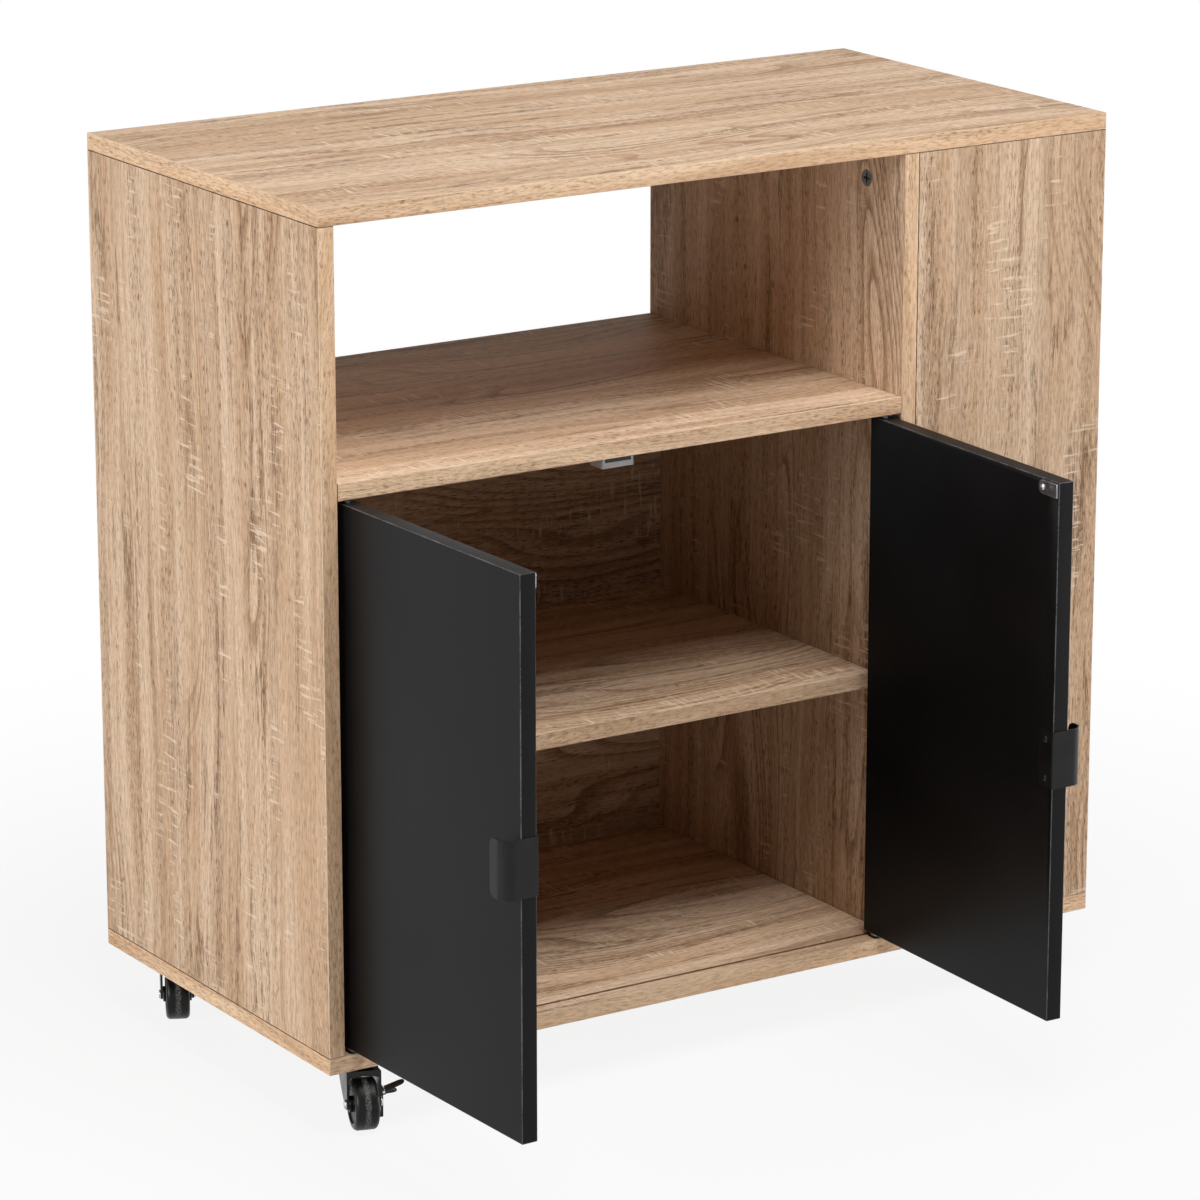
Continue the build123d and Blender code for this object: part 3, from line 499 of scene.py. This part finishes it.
def wheel_material():
    """Black moulded wheel with a pale line round the middle of its tread."""
    made, tree, surface = new_material("black wheel tread")
    mottle = use_group(tree, MOTTLE, mottle_values((5, 5, 5), (10, 10, 10), 90.0, 0.26, 0.44)).outputs
    surface.inputs["Specular IOR Level"].default_value = WHEEL_SHINE
    round_map = place(tree, "ShaderNodeUVMap", uv_map="tread")
    apart = place(tree, "ShaderNodeSeparateXYZ", {0: round_map.outputs[0]})
    aside = apart.outputs[0]
    ahead = apart.outputs[1]
    wander = about_nought(tree, streaks(tree, ahead, aside, TREAD_LINE_WANDER), TREAD_LINE_REACH)
    offset = sums(tree, "ABSOLUTE", sums(tree, "ADD", aside, wander))
    line = spread(tree, offset, 0.0034, 0.0010)
    grit = spread(tree, streaks(tree, ahead, aside, TREAD_LINE_GRIT), 0.40, 0.62)
    tread_mark = product(tree, line, grit, TREAD_LINE_STRENGTH)
    colour = blended(tree, tread_mark, mottle["Color"], TREAD_LINE_TONE)
    gloss = sums(tree, "ADD", mottle["Gloss"], product(tree, tread_mark, 0.5))
    dress_surface(tree, surface, colour, gloss, mottle["Height"], 0.2, FINE_BUMP)
    return made


wheel_mould = wheel_material()


# Mesh helpers
def body_of(node):
    """The moving body that a CAD node belongs to."""
    for body, nodes in frame["record"]["behaviour"]["bodies"].items():
        if node in nodes:
            return body
    return "carcass"


def cad_shape(node):
    """A merged working copy of a CAD node."""
    shape = bmesh.new()
    shape.from_mesh(frame["nodes"][node].data)
    bmesh.ops.remove_doubles(shape, verts=shape.verts, dist=MERGE_REACH)
    bmesh.ops.dissolve_limit(shape, angle_limit=FLAT_ANGLE, verts=shape.verts, edges=shape.edges)
    return shape


def finished(shape, name, materials, node, eased=0.0, smooth=True):
    """Turn a working shape into a piece that stands for its CAD node."""
    for face in shape.faces:
        face.smooth = smooth
    for edge in shape.edges:
        if len(edge.link_faces) == 2 and edge.calc_face_angle(0.0) > SHARP_ANGLE:
            edge.smooth = False
    mesh = bpy.data.meshes.new(name)
    shape.to_mesh(mesh)
    shape.free()
    for material in materials:
        mesh.materials.append(material)
    piece = bpy.data.objects.new(name, mesh)
    bpy.context.scene.collection.objects.link(piece)
    if eased:
        bevel = piece.modifiers.new("eased edges", "BEVEL")
        bevel.width = eased
        bevel.segments = 2
        bevel.limit_method = "ANGLE"
        bevel.angle_limit = EASED_ANGLE
    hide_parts(node)
    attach(piece, body_of(node))
    return piece


def dressed(node, name, material, eased=0.0):
    """A CAD node in one finish."""
    return finished(cad_shape(node), name, (material,), node, eased)


# Boards
BOARD_BOXES = {node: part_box(node) for node in BOARD_GRAIN}


def beside_board(node, spot):
    """Whether a point of one board lies against another board."""
    for other, (low, high) in BOARD_BOXES.items():
        if other == node:
            continue
        if all(low[axis] - JOINT_REACH < spot[axis] < high[axis] + JOINT_REACH for axis in range(3)):
            return True
    return False


def board_piece(node, number):
    """A laminated board with its printed grain laid on each face and its band on each edge."""
    low, high = BOARD_BOXES[node]
    size = high - low
    thin = min(range(3), key=lambda axis: size[axis])
    edge_axes = [axis for axis in range(3) if axis != thin]
    grain = BOARD_GRAIN[node]
    shape = cad_shape(node)
    layer = shape.loops.layers.uv.new("grain")
    for face in shape.faces:
        normal = face.normal
        middle = face.calc_center_median()
        main = max(range(3), key=lambda axis: abs(normal[axis]))
        flat = abs(normal[main]) > FLAT_SHARE
        sunk = min(middle[main] - low[main], high[main] - middle[main]) > SUNK_DEPTH
        if flat and main == thin:
            along = grain
            across = 3 - thin - grain
            finish = FACE
        else:
            facing = max(edge_axes, key=lambda axis: abs(normal[axis]))
            along = 3 - thin - facing
            across = thin
            finish = BAND
        # Chamfers against another board take painted shade, open chamfers a painted highlight
        if not flat:
            finish = JOINT_PAINTED_SHADE if beside_board(node, middle) else ARRIS_PAINTED_HIGHLIGHT
        # Sunk faces take painted shade
        elif sunk:
            finish = GROOVE_PAINTED_SHADE
        face.material_index = finish

        # Each face of each board takes another stretch of the print
        side = 1 if normal[main] > 0 else 0
        shift = number * BOARD_STEP + main * AXIS_STEP + side * SIDE_STEP
        for loop in face.loops:
            spot = loop.vert.co
            loop[layer].uv = (spot[along] + shift, spot[across] + shift * STEP_SLANT)
    finishes = (oak_face, oak_band, oak_joint_painted_shade, oak_arris_painted_highlight, oak_groove_painted_shade)
    return finished(shape, f"{node}_board", finishes, node, smooth=False)


for number, node in enumerate(BOARD_GRAIN):
    board_piece(node, number)


# Doors with their pulls and strike plates
def door_ways(side):
    """The directions along a door at rest and out of its inner face."""
    flip = -1 if side == "right" else 1
    way = Vector((flip * math.cos(DOOR_ANGLE), -math.sin(DOOR_ANGLE), 0))
    inward = Vector((flip * math.sin(DOOR_ANGLE), math.cos(DOOR_ANGLE), 0))
    return way, inward


def door_point(side, along, outward, height):
    """A point on a door at rest, from its pivot: along the leaf, out of its inner face, and up."""
    way, inward = door_ways(side)
    pivot = PIVOT_RIGHT if side == "right" else PIVOT_LEFT
    return pivot + way * along + inward * outward + Vector((0, 0, height))


def door_leaf(side):
    """A painted door whose rounded edges take a lighter finish, a painted highlight."""
    way, inward = door_ways(side)
    shape = cad_shape(f"{side}_door")
    for face in shape.faces:
        parts = (face.normal.dot(way), face.normal.dot(inward), face.normal.z)
        face.material_index = 0 if max(abs(part) for part in parts) > FLAT_SHARE else 1
    return finished(shape, f"{side}_door_leaf", (door_paint, door_arris_painted_highlight), f"{side}_door")


for side in ("left", "right"):
    door_leaf(side)
    dressed(f"{side}_handle", f"{side}_door_pull", black_coat, PULL_EASE)
    dressed(f"{side}_strike_plate", f"{side}_strike", strike_plating, THIN_EASE)
    dressed(f"{side}_pivot_pins", f"{side}_pivots", bright_steel)

# Catch, cams, bushes and shelf pins
dressed("catch_housing", "catch_body", pale_plastic, MOULD_EASE)
dressed("catch_magnet", "catch_magnet_bar", dark_magnet, TINY_EASE)
dressed("cam_locks", "cam_lock_heads", dull_zinc, TINY_EASE)
dressed("pivot_bushes", "pivot_bush_rings", black_nylon, TINY_EASE)
dressed("shelf_pins", "shelf_pin_set", bright_steel, THIN_EASE)


# Casters
def map_tread(shape, corner):
    """Lay a map on a wheel: u along the axle and v round it, in metres."""
    turn = math.radians(CASTER_TURNS[corner])
    axle = Vector((math.cos(turn), math.sin(turn), 0))
    ahead = Vector((math.sin(turn), -math.cos(turn), 0))
    swivel = Vector((
        CASTER_X if corner.endswith("right") else -CASTER_X,
        CASTER_Y if corner.startswith("back") else -CASTER_Y,
        WHEEL_RADIUS,
    ))
    middle = swivel + ahead * WHEEL_TRAIL
    layer = shape.loops.layers.uv.new("tread")
    for face in shape.faces:
        start = None
        for loop in face.loops:
            spot = loop.vert.co - middle
            angle = math.atan2(spot.z, spot.dot(ahead))
            if start is None:
                start = angle
            elif angle - start > math.pi:
                angle -= 2 * math.pi
            elif start - angle > math.pi:
                angle += 2 * math.pi
            loop[layer].uv = (spot.dot(axle), angle * WHEEL_RADIUS)


for corner in CASTER_TURNS:
    dressed(f"{corner}_caster_plate", f"{corner}_plate", caster_coat, THIN_EASE)
    dressed(f"{corner}_fork", f"{corner}_fork_shell", caster_coat, THIN_EASE)
    tread = cad_shape(f"{corner}_wheel")
    map_tread(tread, corner)
    finished(tread, f"{corner}_tread", (wheel_mould,), f"{corner}_wheel", WHEEL_EASE)
    dressed(f"{corner}_axle", f"{corner}_axle_rivet", bright_steel)
    dressed(f"{corner}_kingpin", f"{corner}_kingpin_rivet", caster_coat)
for corner in ("front_left", "front_right"):
    dressed(f"{corner}_brake_lever", f"{corner}_brake", brake_mould, MOULD_EASE)
    dressed(f"{corner}_brake_pin", f"{corner}_brake_rivet", bright_steel)


# Screws, drawn once as a node tree and set out by their points
def screw_tree():
    """Domed heads with a cross slot, one on each point of a mesh."""
    tree, start, end = new_group(
        "pan head screws",
        "GeometryNodeTree",
        (
            ("Geometry", "NodeSocketGeometry", None),
            ("Head Radius", "NodeSocketFloat", SMALL_HEAD[0]),
            ("Head Height", "NodeSocketFloat", SMALL_HEAD[1]),
            ("Slot Width", "NodeSocketFloat", SMALL_HEAD[2]),
            ("Facing", "NodeSocketVector", (0.0, 0.0, 1.0)),
            ("Finish", "NodeSocketMaterial", None),
        ),
        (("Geometry", "NodeSocketGeometry"),),
    )
    radius = start["Head Radius"]
    height = start["Head Height"]
    slot = start["Slot Width"]

    # A flattened ball, whose lower half a wide block takes away
    ball = place(tree, "GeometryNodeMeshUVSphere", {"Segments": 32, "Rings": 16, "Radius": 1.0})
    size = place(tree, "ShaderNodeCombineXYZ", {0: radius, 1: radius, 2: height})
    dome = place(tree, "GeometryNodeTransform", {"Geometry": ball.outputs[0], "Scale": size.outputs[0]})
    wide = product(tree, radius, 4.0)
    under_size = place(tree, "ShaderNodeCombineXYZ", {0: wide, 1: wide, 2: product(tree, height, 4.0)})
    under = place(tree, "GeometryNodeMeshCube", {"Size": under_size.outputs[0]})
    drop = place(tree, "ShaderNodeCombineXYZ", {2: product(tree, height, -2.0)})
    under = place(
        tree, "GeometryNodeTransform", {"Geometry": under.outputs[0], "Translation": drop.outputs[0]}
    )
    cut = place(tree, "GeometryNodeMeshBoolean", operation="DIFFERENCE", solver="EXACT")
    tree.links.new(dome.outputs[0], cut.inputs["Mesh 1"])
    tree.links.new(under.outputs[0], cut.inputs["Mesh 2"])

    # Cross slot, a little longer than the head's radius and half as deep as the head
    reach = product(tree, radius, 1.15)
    lift = place(tree, "ShaderNodeCombineXYZ", {2: height})
    for length, width in ((reach, slot), (slot, reach)):
        slot_size = place(tree, "ShaderNodeCombineXYZ", {0: length, 1: width, 2: height})
        blade = place(tree, "GeometryNodeMeshCube", {"Size": slot_size.outputs[0]})
        blade = place(
            tree, "GeometryNodeTransform", {"Geometry": blade.outputs[0], "Translation": lift.outputs[0]}
        )
        tree.links.new(blade.outputs[0], cut.inputs["Mesh 2"])

    points = place(tree, "GeometryNodeMeshToPoints", {"Mesh": start["Geometry"]})
    turn = place(tree, "FunctionNodeAlignRotationToVector", {"Vector": start["Facing"]}, axis="Z")
    heads = place(
        tree,
        "GeometryNodeInstanceOnPoints",
        {"Points": points.outputs[0], "Instance": cut.outputs[0], "Rotation": turn.outputs[0]},
    )
    real = place(tree, "GeometryNodeRealizeInstances", {"Geometry": heads.outputs[0]})
    coated = place(
        tree, "GeometryNodeSetMaterial", {"Geometry": real.outputs[0], "Material": start["Finish"]}
    )
    fill(tree, end, {"Geometry": coated.outputs[0]})
    return tree


SCREWS = screw_tree()


def screw_piece(name, node, spots, facing, head, material):
    """Set out screw heads on their points and keep them as one plain mesh."""
    seed = bpy.data.meshes.new(f"{name}_points")
    seed.from_pydata([tuple(spot) for spot in spots], [], [])
    rig = bpy.data.objects.new(f"{name}_rig", seed)
    bpy.context.scene.collection.objects.link(rig)
    maker = rig.modifiers.new("screws", "NODES")
    maker.node_group = SCREWS
    radius, height, slot = head
    values = {
        "Head Radius": radius,
        "Head Height": height,
        "Slot Width": slot,
        "Facing": tuple(facing),
        "Finish": material,
    }
    for item in SCREWS.interface.items_tree:
        if item.item_type == "SOCKET" and item.in_out == "INPUT" and item.name in values:
            maker[item.identifier] = values[item.name]
    bpy.context.view_layer.update()
    made = bpy.data.meshes.new_from_object(rig.evaluated_get(bpy.context.evaluated_depsgraph_get()))
    bpy.data.objects.remove(rig)
    bpy.data.meshes.remove(seed)
    shape = bmesh.new()
    shape.from_mesh(made)
    bpy.data.meshes.remove(made)
    return finished(shape, name, (material,), node)


for side in ("left", "right"):
    facing = door_point(side, 0, 1, 0) - door_point(side, 0, 0, 0)
    pull_spots = [
        door_point(side, FREE_EDGE - HANDLE_SCREW_INSET, DOOR_FACE + HANDLE_SHEET, HANDLE_MID + step)
        for step in (-HANDLE_SCREW_STEP, HANDLE_SCREW_STEP)
    ]
    screw_piece(f"{side}_pull_screws", f"{side}_handle_screws", pull_spots, facing, SMALL_HEAD, black_coat)
    strike_along = FREE_EDGE - STRIKE_INSET - STRIKE_LENGTH + STRIKE_HALF
    strike_spots = [door_point(side, strike_along, DOOR_FACE + STRIKE_SHEET, STRIKE_MID)]
    screw_piece(f"{side}_strike_head", f"{side}_strike_screw", strike_spots, facing, SMALL_HEAD, bright_steel)

caster_spots = [
    (x + dx, y + dy, PLATE_UNDERSIDE)
    for x in (-CASTER_X, CASTER_X)
    for y in (-CASTER_Y, CASTER_Y)
    for dx in (-PLATE_SCREW_STEP, PLATE_SCREW_STEP)
    for dy in (-PLATE_SCREW_STEP, PLATE_SCREW_STEP)
]
screw_piece("caster_screw_heads", "caster_screws", caster_spots, (0, 0, -1), CASTER_HEAD, bright_steel)

# Hidden fixings keep their CAD shapes
hidden_finish = {
    "cam_bolts": bright_steel,
    "base_screws": bright_steel,
    "catch_screws": bright_steel,
    "dowels": plain_beech,
}
for node, material in hidden_finish.items():
    for material_slot in frame["nodes"][node].material_slots:
        material_slot.material = material


# Floor and backdrop: white to the camera and to reflections, with the shadow kept
FLOOR_HALF = 30
FLOOR_GREY = (0.6, 0.6, 0.6, 1)
WHITE = (1, 1, 1, 1)
SHADOW_NEAR = 0.4
SHADOW_FAR = 1.3
SHADOW_SHARE = 0.12
ROOM_LIGHT = 0.038


def seen_rays(tree):
    """One for rays from the camera, from reflections and through glass, and nought for the rest."""
    ray = place(tree, "ShaderNodeLightPath").outputs
    seen = sums(tree, "MAXIMUM", ray["Is Camera Ray"], ray["Is Glossy Ray"])
    return sums(tree, "MAXIMUM", seen, ray["Is Transmission Ray"])


floor_mesh = bpy.data.meshes.new("studio_floor")
floor_corners = [
    (-FLOOR_HALF, -FLOOR_HALF, 0),
    (FLOOR_HALF, -FLOOR_HALF, 0),
    (FLOOR_HALF, FLOOR_HALF, 0),
    (-FLOOR_HALF, FLOOR_HALF, 0),
]
floor_mesh.from_pydata(floor_corners, [], [(0, 1, 2, 3)])
floor = bpy.data.objects.new("studio_floor", floor_mesh)
bpy.context.scene.collection.objects.link(floor)
floor_paint = bpy.data.materials.new("pale studio floor")
floor_paint.use_nodes = True
floor_tree = floor_paint.node_tree
floor_tree.nodes.clear()
matt = place(floor_tree, "ShaderNodeBsdfDiffuse", {"Color": FLOOR_GREY})
glow = place(floor_tree, "ShaderNodeEmission", {"Color": WHITE, "Strength": 1.0})
spot = place(floor_tree, "ShaderNodeTexCoord").outputs["Object"]
reach = place(floor_tree, "ShaderNodeVectorMath", {0: spot}, operation="LENGTH").outputs["Value"]
white_share = spread(floor_tree, reach, SHADOW_NEAR, SHADOW_FAR, SHADOW_SHARE)
white_share = sums(floor_tree, "ADD", white_share, 1 - SHADOW_SHARE)
share = product(floor_tree, seen_rays(floor_tree), white_share)
mixed = place(floor_tree, "ShaderNodeMixShader", {0: share, 1: matt.outputs[0], 2: glow.outputs[0]})
floor_end = floor_tree.nodes.new("ShaderNodeOutputMaterial")
floor_tree.links.new(mixed.outputs[0], floor_end.inputs[0])
floor_mesh.materials.append(floor_paint)

world = bpy.data.worlds.new("studio")
bpy.context.scene.world = world
world.use_nodes = True
sky = world.node_tree
sky.nodes.clear()
dim = place(sky, "ShaderNodeBackground", {"Color": WHITE, "Strength": ROOM_LIGHT})
white = place(sky, "ShaderNodeBackground", {"Color": WHITE, "Strength": 1.0})
sky_mix = place(sky, "ShaderNodeMixShader", {0: seen_rays(sky), 1: dim.outputs[0], 2: white.outputs[0]})
sky_end = sky.nodes.new("ShaderNodeOutputWorld")
sky.links.new(sky_mix.outputs[0], sky_end.inputs[0])


# Lamps
def soft_light(name, spot, aim, size, power):
    """One large soft lamp: where it stands, what it points at, its width and height, and its watts."""
    lamp = bpy.data.lights.new(name, "AREA")
    lamp.shape = "RECTANGLE"
    lamp.size, lamp.size_y = size
    lamp.energy = power
    made = bpy.data.objects.new(name, lamp)
    made.location = spot
    made.rotation_euler = (Vector(aim) - Vector(spot)).to_track_quat("-Z", "Y").to_euler()
    bpy.context.scene.collection.objects.link(made)


soft_light("overhead softbox", (-0.16, -1.66, 3.92), (0, 0, 0.45), (2.4, 2.2), 143)
soft_light("left softbox", (-3.9, -0.5, 1.1), (-0.4, 0, 0.45), (1.5, 1.5), 90)
soft_light("right softbox", (3.57, -1.66, 0.62), (0, 0, 0.45), (1.5, 1.0), 82)
soft_light("back softbox", (2.4, 3.4, 0.30), (0, 0, 0.40), (1.6, 0.6), 85)

# Camera at the photograph's viewing angle
CAMERA_SPOT = (-2.4454, -3.7990, 1.6323)
CAMERA_TILT = math.radians(90 - 15.639)
CAMERA_TURN = math.radians(-32.749)
lens = bpy.data.cameras.new("photo camera")
lens.sensor_width = 36.0
lens.lens = 157.45
lens.clip_end = 100
viewer = bpy.data.objects.new("photo camera", lens)
viewer.location = CAMERA_SPOT
viewer.rotation_euler = (CAMERA_TILT, 0, CAMERA_TURN)
bpy.context.scene.collection.objects.link(viewer)
bpy.context.scene.camera = viewer
bpy.context.scene.view_settings.view_transform = "Standard"
